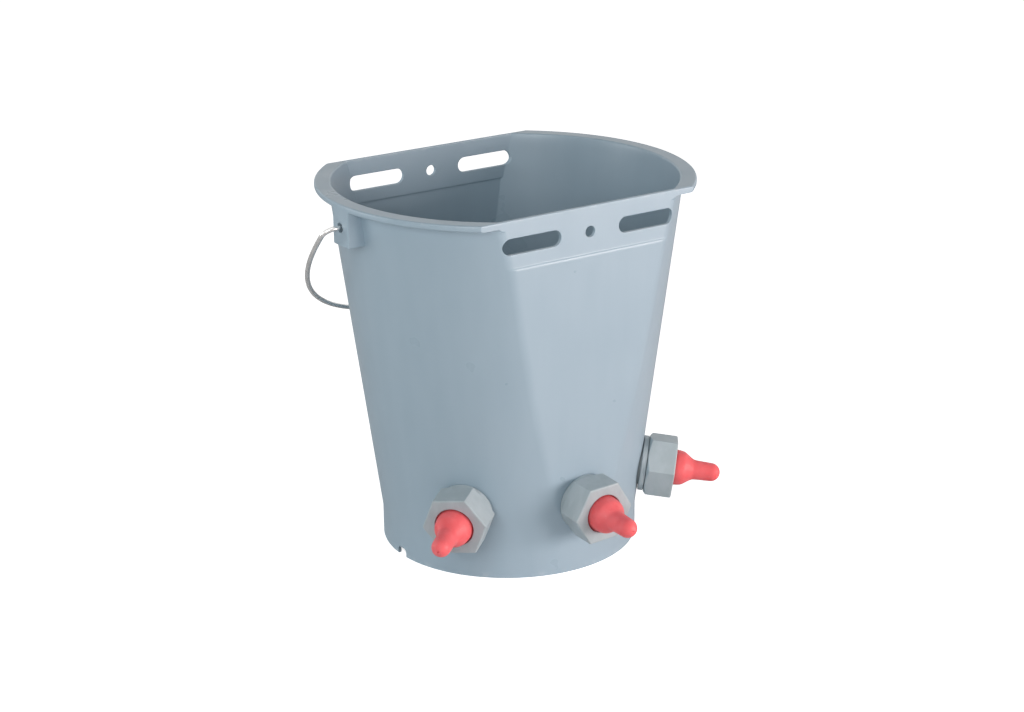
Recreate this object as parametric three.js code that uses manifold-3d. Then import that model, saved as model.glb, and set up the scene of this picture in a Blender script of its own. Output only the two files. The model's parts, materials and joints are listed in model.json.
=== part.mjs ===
// A lamb feeding bucket: a tapered plastic pail with two flattened sides, a wire bail hooked into
// two lugs, and three teat valves low on its front. Millimetres, +Z up, standing on z = 0. The pail
// is made round its own axis, and the finished model is then moved so that the origin is the middle
// of its footprint.
import * as THREE from "three";
import { mergeVertices } from "three/addons/utils/BufferGeometryUtils.js";
import Module from "manifold-3d";

const wasm = await Module();
wasm.setup();

const rad = THREE.MathUtils.degToRad;
const runGap = 0.35; // between pieces that turn or slide on each other
const restGap = 0.3; // between pieces that only touch

// ---- pail
const rimHeight = 300;
const rimRadius = 139.8; // outside of the wall at the rim
const footRadius = 103.8;
const footHeight = 25; // upright part of the wall, below the taper
const wall = 3;
const floorLift = 12; // underside of the floor above the ground
const floorThickness = 3.5;
const floorFillet = 5;
const flangeWidth = 10.2; // beyond the wall
const flangeThickness = 5;
const flangeRound = 1.6;
const flangeFillet = 3;
const mouthRound = 2;
const bandHeight = 37; // upright slot band above each sloping flat, which steps back at a ledge
const flatCut = 24.6; // how far the flat is cut in from the rim's radius at that ledge
const flatLedgeDepth = 1;
const flatStart = 0.5; // how far the flats' planes stand off the foot
const ledgeRound = 1.4;
const rimEdgeRound = 1;
const slotDrop = 20; // slot centres below the rim
const slotSpacing = 104.7;
const slotLength = 51.6;
const slotWidth = 12.6;
const hookHoleRadius = 4.35;
const notchWidth = 12;
const notchHeight = 6.5;

// ---- lugs for the bail
const lugWidth = 23;
const lugDrop = 33; // rim to the level underside
const lugPlate = 3;
const lugCheek = 2.5;
const lugRoof = 2;
const pivotDrop = 18.5; // bail's axis below the rim
const lugHoleSlack = 2;

// ---- bail
const wireRadius = 2;
const bailSideGap = 12.6; // wire centre beyond the flange at each side
const bailReach = 163.5; // pivot axis to the middle of the grip
const bailSquareness = 2.33; // exponent of the outline: 2 is an ellipse, more is squarer
const bailShoulder = 8; // bend from the pin into the side
const hookBend = 3.2;
const hookLength = 7;

// ---- teat valves
const valveHeight = 58.8;
const valveSpread = 51.7; // degrees from the front to each side valve
const nutTurns = [8, 2, -8]; // degrees each tightened union nut stops past having a flat on top
const threadCore = 17.8; // radius of the housing under its thread
const threadHeight = 1.5;
const threadPitch = 6;
const threadRoot = 1.7; // half-widths of the ridge
const threadCrest = 0.8;
const nutThreadTurns = 1.8;
const housingLength = 20.6; // end of the threaded tube beyond the wall
const housingWall = 2.8;
const housingFlangeWidth = 5.2; // beyond the hole in the wall
const housingFlangeThickness = 3;
const gasketEdge = 1.3; // thinnest part of the shaped gasket
const gasketMargin = 0.4;
const wallHoleSlack = 0.5;
const backingRingWidth = 4.2;
const backingRingThickness = 4.3;
const nutWall = 3.35; // bore to the middle of a flat
const nutBack = 5; // back of the union nut in front of the wall
const nutLip = 3.7;
const nutBevel = 1.2;
const nutBackChamfer = 30; // degrees
const teatFlangeThickness = 3;
const teatBulbRadius = 14.7;
const teatNeckRadius = 7.9;
const teatTipRadius = 7.5;
const teatWall = 2.8;
const teatBulbLength = 20.5; // front of the teat's flange to the neck
const teatNippleLength = 13; // neck to the centre of the round tip
const teatHoleRadius = 0.9;
const teatHoleSlack = 0.9;
const ballRadius = 6.5;
const ballTravel = 4;
const seatGrip = 1.7; // how much smaller the seat's hole is than the ball
const chamberSlack = 1.7;
const retainerThickness = 3;
const retainerBar = 2.6;

const roundSides = 64;
const valveSides = 28;
const threadSides = 20; // to a turn
const wireSides = 8;
const teatSides = 20;
const ballSides = 16;
const past = 2; // how far a cutting solid runs beyond what it cuts

const flangeRadius = rimRadius + flangeWidth;
const flatLedgeHeight = rimHeight - bandHeight;
const flatLedgeReach = rimRadius - flatCut;
const lugBottom = rimHeight - lugDrop;
const pivotHeight = rimHeight - pivotDrop;
const lugHoleRadius = wireRadius + lugHoleSlack;
const threadTop = threadCore + threadHeight;
const wallHoleRadius = threadTop + wallHoleSlack;
const housingFlangeRadius = wallHoleRadius + housingFlangeWidth;
const backingRingRadius = wallHoleRadius + backingRingWidth;
const nutBore = threadTop + runGap;
const nutAcross = 2 * (nutBore + nutWall);
const seatRadius = ballRadius - seatGrip;
const chamberRadius = ballRadius + chamberSlack;

// ---- joining and cutting

function solid(geometry) {
  const bare = geometry.clone();
  bare.deleteAttribute("normal");
  bare.deleteAttribute("uv");
  const merged = mergeVertices(bare, 1e-4);
  const vertProperties = new Float32Array(merged.attributes.position.array);
  const triVerts = new Uint32Array(merged.index.array);
  return new wasm.Manifold(new wasm.Mesh({ numProp: 3, vertProperties, triVerts }));
}

function geometryOf(body) {
  const { vertProperties, triVerts } = body.getMesh();
  const geometry = new THREE.BufferGeometry();
  geometry.setAttribute("position", new THREE.BufferAttribute(vertProperties, 3));
  geometry.setIndex(new THREE.BufferAttribute(triVerts, 1));
  const flat = geometry.toNonIndexed();
  flat.computeVertexNormals();
  return flat;
}

const join = (...bodies) => bodies.reduce((a, b) => a.add(b));
const cut = (body, ...tools) => tools.reduce((a, b) => a.subtract(b), body);

// ---- basic shapes

// A profile of [radius, height] pairs turned round the Z axis.
function turned(profile, sides) {
  const points = profile.map(([r, z]) => new THREE.Vector2(r, z));
  return solid(new THREE.LatheGeometry(points, sides).rotateX(Math.PI / 2));
}

function drum(radius, from, to, sides) {
  return turned([[0, from], [radius, from], [radius, to], [0, to]], sides);
}

function tube(inner, outer, from, to, sides) {
  return turned([[inner, from], [outer, from], [outer, to], [inner, to], [inner, from]], sides);
}

// An outline extruded both ways from the middle, with its x, y and depth laid along the given axes.
function slab(shape, depth, xAxis, yAxis, curveSegments = 12) {
  const geometry = new THREE.ExtrudeGeometry(shape, { depth, bevelEnabled: false, curveSegments });
  geometry.translate(0, 0, -depth / 2);
  const across = new THREE.Vector3().crossVectors(xAxis, yAxis);
  return solid(geometry.applyMatrix4(new THREE.Matrix4().makeBasis(xAxis, yAxis, across)));
}

const axisX = new THREE.Vector3(1, 0, 0);
const axisY = new THREE.Vector3(0, 1, 0);
const axisZ = new THREE.Vector3(0, 0, 1);

function outline(points) {
  return new THREE.Shape(points.map(([x, y]) => new THREE.Vector2(x, y)));
}

function quarter(centreX, centreY, radius, fromDegrees, steps = 2) {
  const points = [];
  for (let i = 0; i <= steps; i++) {
    const angle = rad(fromDegrees + (90 * i) / steps);
    points.push([centreX + radius * Math.cos(angle), centreY + radius * Math.sin(angle)]);
  }
  return points;
}

// A path with its section's first axis given at every point, for ExtrudeGeometry to follow.
class FramedPath extends THREE.Curve {
  constructor(points, normals) {
    super();
    this.points = points;
    this.normals = normals;
  }

  getSpacedPoints() {
    return this.points;
  }

  computeFrenetFrames() {
    const last = this.points.length - 1;
    const tangents = this.points.map((point, i) => {
      const before = this.points[Math.max(i - 1, 0)];
      const after = this.points[Math.min(i + 1, last)];
      return after.clone().sub(before).normalize();
    });
    const binormals = tangents.map((t, i) => t.clone().cross(this.normals[i]).normalize());
    const normals = binormals.map((b, i) => b.clone().cross(tangents[i]));
    return { tangents, normals, binormals };
  }
}

function swept(section, points, normals) {
  const extrudePath = new FramedPath(points, normals);
  const steps = points.length - 1;
  return solid(new THREE.ExtrudeGeometry(section, { steps, extrudePath, curveSegments: 1 }));
}

// ---- pail

const taper = (rimRadius - footRadius) / (rimHeight - footHeight);
const flatSlope = (flatLedgeReach - footRadius - flatStart) / (flatLedgeHeight - footHeight);

function wallRadius(z) {
  return footRadius + taper * Math.max(z - footHeight, 0);
}

function flatReach(z) {
  if (z > flatLedgeHeight) return flatLedgeReach - flatLedgeDepth;
  return footRadius + flatStart + flatSlope * Math.max(z - footHeight, 0);
}

// The prism between the two flats, its faces moved inwards by the inset.
function betweenFlats(inset, top) {
  const band = flatReach(rimHeight) - inset;
  const edge = top === rimHeight ? rimEdgeRound : 0;
  const ledge = flatReach(flatLedgeHeight) - inset;
  const side = [
    [flatReach(0) - inset, -past],
    [flatReach(0) - inset, footHeight],
    [ledge - flatSlope * ledgeRound, flatLedgeHeight - ledgeRound],
    [ledge - flatLedgeDepth / 3, flatLedgeHeight - ledgeRound / 3],
    [band, flatLedgeHeight],
    ...(edge ? quarter(band - edge, top - edge, edge, 0) : [[band, top]]),
  ];
  const other = side.map(([y, z]) => [-y, z]).reverse();
  return slab(outline([...side, ...other]), 3 * flangeRadius, axisY, axisZ);
}

function pailOutside() {
  const under = rimHeight - flangeThickness;
  const throat = wallRadius(under - flangeFillet);
  return turned(
    [
      [0, 0],
      [footRadius, 0],
      [footRadius, footHeight],
      [throat, under - flangeFillet],
      ...quarter(throat + flangeFillet, under - flangeFillet, flangeFillet, 90).reverse().slice(1),
      ...quarter(flangeRadius - flangeRound, under + flangeRound, flangeRound, -90),
      ...quarter(flangeRadius - flangeRound, rimHeight - flangeRound, flangeRound, 0),
      [0, rimHeight],
    ],
    roundSides,
  );
}

// The room inside the pail, its sides set in from the pail's outside by the given amount.
function pailRoom(inset) {
  const bottom = floorLift + floorThickness + inset - wall;
  const corner = footRadius - inset;
  const mouth = wallRadius(rimHeight) - inset;
  const profile = [
    [0, bottom],
    [corner - floorFillet, bottom],
    ...quarter(corner - floorFillet, bottom + floorFillet, floorFillet, -90).slice(1),
    [corner, footHeight],
    [mouth - taper * mouthRound, rimHeight - mouthRound],
    [mouth + mouthRound / 3, rimHeight - mouthRound / 3],
    [mouth + mouthRound, rimHeight],
    [mouth + mouthRound, rimHeight + past],
    [0, rimHeight + past],
  ];
  return turned(profile, roundSides).intersect(betweenFlats(inset, rimHeight + 2 * past));
}

function between(width) {
  const half = width / 2;
  const low = pivotHeight - rimHeight;
  const box = [[-half, low], [half, low], [half, rimHeight], [-half, rimHeight]];
  return slab(outline(box), 3 * flangeRadius, axisY, axisZ);
}

// Both lugs: a box under the flange with an open bottom, for the hooked ends of the bail.
function lugs() {
  const buried = (z) => wallRadius(z) - wall / 2;
  const plateInside = flangeRadius - lugPlate;
  const top = rimHeight - flangeThickness / 2;
  const roof = rimHeight - flangeThickness - lugRoof;
  const block = [
    [buried(lugBottom), lugBottom],
    [flangeRadius, lugBottom],
    [flangeRadius, top],
    [buried(top), top],
    [buried(lugBottom), lugBottom],
  ];
  const pocket = [
    [buried(0), lugBottom - past],
    [plateInside, lugBottom - past],
    [plateInside, roof],
    [buried(0), roof],
    [buried(0), lugBottom - past],
  ];
  const solidLugs = turned(block, roundSides).intersect(between(lugWidth));
  return cut(solidLugs, turned(pocket, roundSides).intersect(between(lugWidth - 2 * lugCheek)));
}

function lugHole(side) {
  const depth = 2 * lugPlate;
  const hole = new THREE.CylinderGeometry(lugHoleRadius, lugHoleRadius, depth, valveSides);
  hole.rotateZ(Math.PI / 2);
  return solid(hole.translate(side * (flangeRadius - lugPlate / 2), 0, pivotHeight));
}

function stadium(length, width) {
  const half = (length - width) / 2;
  const shape = new THREE.Shape();
  shape.absarc(half, 0, width / 2, -Math.PI / 2, Math.PI / 2);
  shape.absarc(-half, 0, width / 2, Math.PI / 2, (3 * Math.PI) / 2);
  return shape;
}

function rimCuts() {
  const through = 3 * flatLedgeReach;
  const height = rimHeight - slotDrop;
  const slots = [-1, 1].map((side) =>
    slab(stadium(slotLength, slotWidth), through, axisX, axisZ, 10)
      .translate(side * slotSpacing / 2, 0, height));
  const round = new THREE.CylinderGeometry(hookHoleRadius, hookHoleRadius, through, valveSides);
  return [...slots, solid(round.translate(0, 0, height))];
}

function footNotch() {
  const arch = new THREE.Shape();
  const half = notchWidth / 2;
  const corner = notchHeight / 2;
  arch.moveTo(-half, -past);
  arch.lineTo(half, -past);
  arch.lineTo(half, notchHeight - corner);
  arch.absarc(half - corner, notchHeight - corner, corner, 0, Math.PI / 2);
  arch.absarc(corner - half, notchHeight - corner, corner, Math.PI / 2, Math.PI);
  return slab(arch, 3 * footRadius, axisY, axisZ, 4);
}

// ---- where the valves stand

// Each valve is made along its own +Z, with z = 0 on the outside of the wall.
function valvePlace(number) {
  const middle = number === 1;
  const azimuth = rad(-90 + (number - 1) * valveSpread);
  const reach = middle ? flatReach(valveHeight) : wallRadius(valveHeight);
  const drop = Math.atan(middle ? flatSlope : taper);
  const outward = new THREE.Vector3(Math.cos(azimuth), Math.sin(azimuth), 0);
  const position = outward.clone().multiplyScalar(reach).setZ(valveHeight);
  const axis = outward.clone().multiplyScalar(Math.cos(drop)).setZ(-Math.sin(drop));
  const side = new THREE.Vector3().crossVectors(axisZ, axis).normalize();
  const up = new THREE.Vector3().crossVectors(axis, side);
  return new THREE.Matrix4().makeBasis(side, up, axis).setPosition(position);
}

const insideRadius = wallRadius(valveHeight) - wall;
const wallBow = insideRadius - Math.sqrt(insideRadius ** 2 - housingFlangeRadius ** 2);
const flangeFace = -(wall + wallBow + restGap + gasketEdge);
const flangeBack = flangeFace - housingFlangeThickness;

function bucket() {
  const placed = (number) =>
    drum(wallHoleRadius, flangeBack, nutBack, valveSides).transform(valvePlace(number).elements);
  const shell = cut(
    pailOutside().intersect(betweenFlats(0, rimHeight)),
    pailRoom(wall),
    drum(footRadius - wall, -past, floorLift, roundSides),
  );
  return cut(
    join(shell, lugs()),
    lugHole(-1),
    lugHole(1),
    ...rimCuts(),
    footNotch(),
    ...[0, 1, 2].map(placed),
  );
}

// ---- bail

// The wire's centre line in the plane of the bail: x across, y away from the pivot axis.
function bailLine() {
  const span = flangeRadius + bailSideGap;
  const inner = flangeRadius - lugPlate - 2 * wireRadius - hookBend / 2;
  const start = Math.asin((bailShoulder / bailReach) ** (bailSquareness / 2));
  const power = 2 / bailSquareness;
  const side = [[inner, hookLength]];
  side.push(...quarter(inner + hookBend, hookBend, hookBend, 180, 4));
  side.push(...quarter(span - bailShoulder, bailShoulder, bailShoulder, -90, 5));
  const steps = 22;
  for (let i = 1; i <= steps; i++) {
    const angle = start + ((Math.PI / 2 - start) * i) / steps;
    const x = i < steps ? span * Math.cos(angle) ** power : 0;
    side.push([x, bailReach * Math.sin(angle) ** power]);
  }
  const other = side.slice(0, -1).map(([x, y]) => [-x, y]).reverse();
  return [...side, ...other];
}

// How far below level the bail hangs when it leans on the back of the pail.
function bailLean() {
  const line = bailLine().filter(([, y]) => y > bailShoulder);
  const halfway = line.slice(1).map(([x, y], i) => [(x + line[i][0]) / 2, (y + line[i][1]) / 2]);
  const clearance = (lean) =>
    Math.min(
      ...[...line, ...halfway].map(([x, reach]) => {
        const y = reach * Math.cos(lean);
        const z = pivotHeight - reach * Math.sin(lean);
        return Math.max(Math.hypot(x, y) - wallRadius(z), y - flatReach(z));
      }),
    );
  let high = 0;
  let low = Math.PI / 2;
  for (let i = 0; i < 30; i++) {
    const middle = (high + low) / 2;
    if (clearance(middle) > wireRadius + restGap) high = middle;
    else low = middle;
  }
  return high;
}

function ring(radius, sides) {
  const step = (2 * Math.PI) / sides;
  const corner = (_, i) => [radius * Math.cos(i * step), radius * Math.sin(i * step)];
  return outline(Array.from({ length: sides }, corner));
}

function bail() {
  const points = bailLine().map(([x, y]) => new THREE.Vector3(x, y, 0));
  return swept(ring(wireRadius, wireSides), points, points.map(() => axisZ));
}

// ---- thread

const ridgeSunk = threadHeight / 2; // how deep the ridge is rooted in its base
const ridgeFoot = threadRoot + ((threadRoot - threadCrest) * ridgeSunk) / threadHeight;

// A right-hand helical ridge between two heights on a round base. It stands out from the base, or in
// from it, and its ends sink into the base.
function ridge(from, to, baseRadius, outwards) {
  const steps = Math.round(((to - from) / threadPitch) * threadSides);
  const runOut = threadSides / 5;
  const sense = outwards ? 1 : -1;
  const phase = outwards ? 0 : Math.PI;
  const points = [];
  const normals = [];
  for (let i = 0; i <= steps; i++) {
    const z = from + ((to - from) * i) / steps;
    const angle = (2 * Math.PI * z) / threadPitch + phase;
    const radial = new THREE.Vector3(Math.cos(angle), Math.sin(angle), 0);
    const risen = Math.min(i, steps - i, runOut) / runOut;
    const radius = baseRadius - sense * (1 - risen) * (threadHeight + restGap);
    points.push(radial.clone().multiplyScalar(radius).setZ(z));
    normals.push(radial.multiplyScalar(sense));
  }
  const section = [
    [-ridgeSunk, -ridgeFoot],
    [threadHeight, -threadCrest],
    [threadHeight, threadCrest],
    [-ridgeSunk, ridgeFoot],
  ];
  return swept(outline(section), points, normals);
}

// ---- the pieces of one valve, all along +Z from the wall

const lipInside = housingLength + restGap + teatFlangeThickness + restGap;
const nutFront = lipInside + nutLip;
const teatBack = housingLength + restGap;
const ballClosed = flangeFace + Math.sqrt(ballRadius ** 2 - seatRadius ** 2) + restGap;
const retainerBack = ballClosed + ballTravel + ballRadius + restGap;
const retainerFront = retainerBack + retainerThickness;
const tubeBore = threadCore - housingWall;
const teatFlangeRadius = threadTop;

function valveHousing() {
  const seatTop = flangeFace + chamberRadius - seatRadius;
  const counterbore = retainerBack - restGap;
  const chamfer = 0.8;
  const body = turned(
    [
      [seatRadius, flangeBack],
      [housingFlangeRadius - chamfer, flangeBack],
      [housingFlangeRadius, flangeBack + chamfer],
      [housingFlangeRadius, flangeFace],
      [threadCore, flangeFace],
      [threadCore, housingLength - chamfer],
      [threadCore - chamfer, housingLength],
      [tubeBore, housingLength],
      [tubeBore, counterbore],
      [chamberRadius, counterbore],
      [chamberRadius, seatTop],
      [seatRadius, flangeFace],
      [seatRadius, flangeBack],
    ],
    valveSides,
  );
  return join(body, ridge(restGap, housingLength - chamfer - ridgeFoot, threadCore, true));
}

function innerGasket(number) {
  const outer = housingFlangeRadius - gasketMargin;
  const inner = wallHoleRadius + gasketMargin;
  const blank = tube(inner, outer, flangeFace + restGap, 0, valveSides);
  const toPail = valvePlace(number);
  const room = pailRoom(wall + restGap);
  const shaped = blank.transform(toPail.elements).intersect(room);
  return shaped.transform(toPail.clone().invert().elements);
}

function backingRing() {
  const front = restGap + backingRingThickness;
  const edge = 0.7;
  return turned(
    [
      [wallHoleRadius, restGap],
      [backingRingRadius - edge, restGap],
      [backingRingRadius, restGap + edge],
      [backingRingRadius, front - edge],
      [backingRingRadius - edge, front],
      [wallHoleRadius, front],
      [wallHoleRadius, restGap],
    ],
    valveSides,
  );
}

function unionNut(turn) {
  const corner = nutAcross / 2 / Math.cos(Math.PI / 6);
  const length = nutFront - nutBack;
  const hexagon = new THREE.ExtrudeGeometry(ring(corner, 6), {
    depth: length - 2 * nutBevel,
    bevelThickness: nutBevel,
    bevelSize: nutBevel,
    bevelOffset: -nutBevel,
    bevelSegments: 1,
    curveSegments: 1,
  });
  const backRadius = nutAcross / 2;
  const slope = (corner + past - backRadius) * Math.tan(rad(nutBackChamfer));
  const chamfered = turned(
    [
      [0, nutBack],
      [backRadius, nutBack],
      [corner + past, nutBack + slope],
      [corner + past, nutFront + past],
      [0, nutFront + past],
    ],
    2 * valveSides,
  );
  hexagon.rotateZ(rad(turn)).translate(0, 0, nutBack + nutBevel);
  const body = solid(hexagon).intersect(chamfered);
  const bored = cut(
    body,
    drum(teatBulbRadius + teatHoleSlack, nutBack, nutFront + past, valveSides),
    drum(nutBore, nutBack - past, lipInside, valveSides),
  );
  const threadStart = nutBack + ridgeFoot + restGap;
  const threadEnd = threadStart + nutThreadTurns * threadPitch;
  return join(bored, ridge(threadStart, threadEnd, nutBore, false));
}

function teat() {
  const front = teatBack + teatFlangeThickness;
  const neck = front + teatBulbLength + restGap;
  const tip = neck + teatNippleLength;
  const outside = new THREE.Path();
  outside.moveTo(teatFlangeRadius, teatBack);
  outside.lineTo(teatFlangeRadius, front);
  outside.lineTo(teatBulbRadius, front);
  outside.lineTo(teatBulbRadius, front + teatBulbLength * 0.25);
  outside.bezierCurveTo(teatBulbRadius, front + teatBulbLength * 0.7, teatNeckRadius,
    neck - teatBulbLength * 0.45, teatNeckRadius, neck);
  outside.lineTo(teatTipRadius, tip);
  const open = Math.acos(teatHoleRadius / teatTipRadius);
  outside.absarc(0, tip, teatTipRadius, 0, open);
  const points = outside.getPoints(5).map(({ x, y }) => [x, y]);
  const inner = teatTipRadius - teatWall;
  const wide = teatBulbRadius - teatWall;
  points.push([teatHoleRadius, tip + inner * 0.9]);
  points.push([inner, tip]);
  points.push([teatNeckRadius - teatWall, neck]);
  points.push([wide * 0.72, front + teatBulbLength * 0.55]);
  points.push([wide, front + teatBulbLength * 0.3]);
  points.push([wide, teatBack]);
  points.push([teatFlangeRadius, teatBack]);
  return turned(points, teatSides);
}

function valveBall() {
  const ball = new THREE.SphereGeometry(ballRadius, ballSides, ballSides / 2);
  return solid(ball.translate(0, 0, ballClosed + ballTravel));
}

function ballRetainer() {
  const bar = (xAxis, yAxis) => {
    const half = retainerBar / 2;
    const long = chamberRadius + 1;
    const shape = outline([[-long, -half], [long, -half], [long, half], [-long, half]]);
    return slab(shape, retainerThickness, xAxis, yAxis)
      .translate(0, 0, (retainerBack + retainerFront) / 2);
  };
  const rim = tube(chamberRadius, tubeBore - restGap, retainerBack, retainerFront, valveSides);
  const minusY = axisY.clone().negate();
  return join(rim, bar(axisX, axisY), bar(minusY, axisX));
}

// ---- assembly

function finish(color, roughness, metalness = 0) {
  return new THREE.MeshStandardMaterial({ color, roughness, metalness });
}

const blueGrey = finish(0x9fb3bf, 0.38);
const nutGrey = finish(0xa3adae, 0.42);
const coralRubber = finish(0xec5f66, 0.5);
const blackRubber = finish(0x2b2d2e, 0.7);
const whitePlastic = finish(0xe4e6e3, 0.4);
const zincWire = finish(0xc9cbca, 0.25, 1);

function piece(name, body, material) {
  const mesh = new THREE.Mesh(geometryOf(body), material);
  mesh.name = name;
  return mesh;
}

function valve(number) {
  const group = new THREE.Group();
  group.applyMatrix4(valvePlace(number));
  const label = number + 1;
  group.add(
    piece(`valve_housing_${label}`, valveHousing(), nutGrey),
    piece(`inner_gasket_${label}`, innerGasket(number), blackRubber),
    piece(`backing_ring_${label}`, backingRing(), nutGrey),
    piece(`union_nut_${label}`, unionNut(nutTurns[number]), nutGrey),
    piece(`teat_${label}`, teat(), coralRubber),
    piece(`valve_ball_${label}`, valveBall(), whitePlastic),
    piece(`ball_retainer_${label}`, ballRetainer(), whitePlastic),
  );
  return group;
}

const handle = piece("bail_handle", bail(), zincWire);
handle.position.z = pivotHeight;
handle.rotation.x = -bailLean();

const model = new THREE.Group();
model.add(piece("bucket", bucket(), blueGrey), handle, ...[0, 1, 2].map(valve));
const footprint = new THREE.Box3().setFromObject(model, true);
model.position.y = -footprint.getCenter(new THREE.Vector3()).y;

export default model;
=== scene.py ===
import json
import math
import bmesh
import bpy
import numpy as np
from mathutils import Matrix, Vector


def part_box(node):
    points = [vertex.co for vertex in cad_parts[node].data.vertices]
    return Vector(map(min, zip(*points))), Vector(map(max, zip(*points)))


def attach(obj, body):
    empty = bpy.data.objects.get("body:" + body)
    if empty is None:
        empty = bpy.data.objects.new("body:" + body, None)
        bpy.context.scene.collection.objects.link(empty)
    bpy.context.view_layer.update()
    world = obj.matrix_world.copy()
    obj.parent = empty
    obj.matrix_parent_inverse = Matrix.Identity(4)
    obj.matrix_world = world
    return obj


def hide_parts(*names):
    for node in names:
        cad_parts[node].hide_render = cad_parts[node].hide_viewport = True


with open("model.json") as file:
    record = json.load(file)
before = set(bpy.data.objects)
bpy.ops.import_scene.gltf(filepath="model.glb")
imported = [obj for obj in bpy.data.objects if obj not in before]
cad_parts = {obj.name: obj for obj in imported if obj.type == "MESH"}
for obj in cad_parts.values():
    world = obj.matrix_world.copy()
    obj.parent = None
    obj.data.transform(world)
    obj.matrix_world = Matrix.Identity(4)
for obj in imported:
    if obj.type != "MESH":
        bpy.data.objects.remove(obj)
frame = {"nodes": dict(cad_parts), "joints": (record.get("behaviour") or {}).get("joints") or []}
for spare in ("Cube", "Light", "Camera"):
    if spare in bpy.data.objects:
        bpy.data.objects.remove(bpy.data.objects[spare])
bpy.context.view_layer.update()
print("frame loaded:", len(frame["nodes"]), "nodes")

# Shapes are worked out in millimetres and scaled to metres when they are placed.
mm = 0.001
joints = {joint["name"]: joint for joint in frame["joints"]}
bucketLow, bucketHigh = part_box("bucket")
pailAxisY = (bucketLow.y + bucketHigh.y) / 2 / mm


def meshObject(name, points, faces):
    mesh = bpy.data.meshes.new(name)
    mesh.from_pydata([tuple(map(float, p)) for p in points], [], faces)
    work = bmesh.new()
    work.from_mesh(mesh)
    bmesh.ops.recalc_face_normals(work, faces=work.faces)
    work.to_mesh(mesh)
    work.free()
    thing = bpy.data.objects.new(name, mesh)
    bpy.context.scene.collection.objects.link(thing)
    return thing


# Joins rings of equally many points, in order, into one closed surface.
def skin(name, rings, closedLoop=False, poles=()):
    count = len(rings[0])
    points = [p for ring in rings for p in ring]
    faces = []
    pairs = len(rings) if closedLoop else len(rings) - 1
    for i in range(pairs):
        a, b = i * count, ((i + 1) % len(rings)) * count
        faces += [(a + j, a + (j + 1) % count, b + (j + 1) % count, b + j) for j in range(count)]
    if not closedLoop:
        for start, pole in zip((0, (len(rings) - 1) * count), poles or (None, None)):
            ring = [start + j for j in range(count)]
            if pole is None:
                faces.append(tuple(ring))
                continue
            points.append(pole)
            tip = len(points) - 1
            faces += [(tip, ring[j], ring[(j + 1) % count]) for j in range(count)]
    return meshObject(name, points, faces)


def circle(radius, height, sides):
    angle = np.arange(sides) * 2 * math.pi / sides
    return np.column_stack([radius * np.cos(angle), radius * np.sin(angle), np.full(sides, height)])


# Turns (radius, height) points round Z. A profile that isn't a loop starts and ends on Z.
def turned(name, profile, sides, closedLoop=True):
    if closedLoop:
        return skin(name, [circle(r, z, sides) for r, z in profile], True)
    first, last = profile[0], profile[-1]
    rings = [circle(r, z, sides) for r, z in profile[1:-1]]
    return skin(name, rings, False, ((0, 0, first[1]), (0, 0, last[1])))


def arc(cx, cy, radius, start, end, steps):
    angles = np.radians(np.linspace(start, end, steps + 1))
    return [(cx + radius * math.cos(a), cy + radius * math.sin(a)) for a in angles]


# A Catmull-Rom line through the points.
def smoothLine(points, steps):
    p = np.array(points, float)
    p = np.vstack([2 * p[0] - p[1], p, 2 * p[-1] - p[-2]])
    line = []
    for i in range(1, len(p) - 2):
        for t in np.arange(steps) / steps:
            a, b, c, d = p[i - 1], p[i], p[i + 1], p[i + 2]
            line.append(0.5 * (2 * b + (c - a) * t + (2 * a - 5 * b + 4 * c - d) * t**2
                               + (3 * b - a - 3 * c + d) * t**3))
    return [tuple(q) for q in line] + [tuple(p[-2])]


def bake(thing):
    graph = bpy.context.evaluated_depsgraph_get()
    mesh = bpy.data.meshes.new_from_object(thing.evaluated_get(graph))
    old = thing.data
    thing.modifiers.clear()
    thing.data = mesh
    bpy.data.meshes.remove(old)
    mesh.name = thing.name
    return thing


def combine(target, operation, *tools):
    for tool in tools:
        step = target.modifiers.new("combine", "BOOLEAN")
        step.operation = operation
        step.solver = "MANIFOLD"
        step.object = tool
        bake(target)
        bpy.data.objects.remove(tool)
    return target


def place(thing, matrix):
    thing.data.transform(matrix @ Matrix.Scale(mm, 4))
    thing.data.update()
    return thing


def shade(thing, angle, weighted=True):
    mesh = thing.data
    mesh.polygons.foreach_set("use_smooth", [True] * len(mesh.polygons))
    mesh.set_sharp_from_angle(angle=math.radians(angle))
    if weighted:
        step = thing.modifiers.new("weighted", "WEIGHTED_NORMAL")
        step.keep_sharp = True
        step.weight = 80
        bake(thing)
    return thing


def deliver(thing, material, node, body):
    thing.data.materials.clear()
    thing.data.materials.append(material)
    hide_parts(node)
    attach(thing, body)
    return thing


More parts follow.
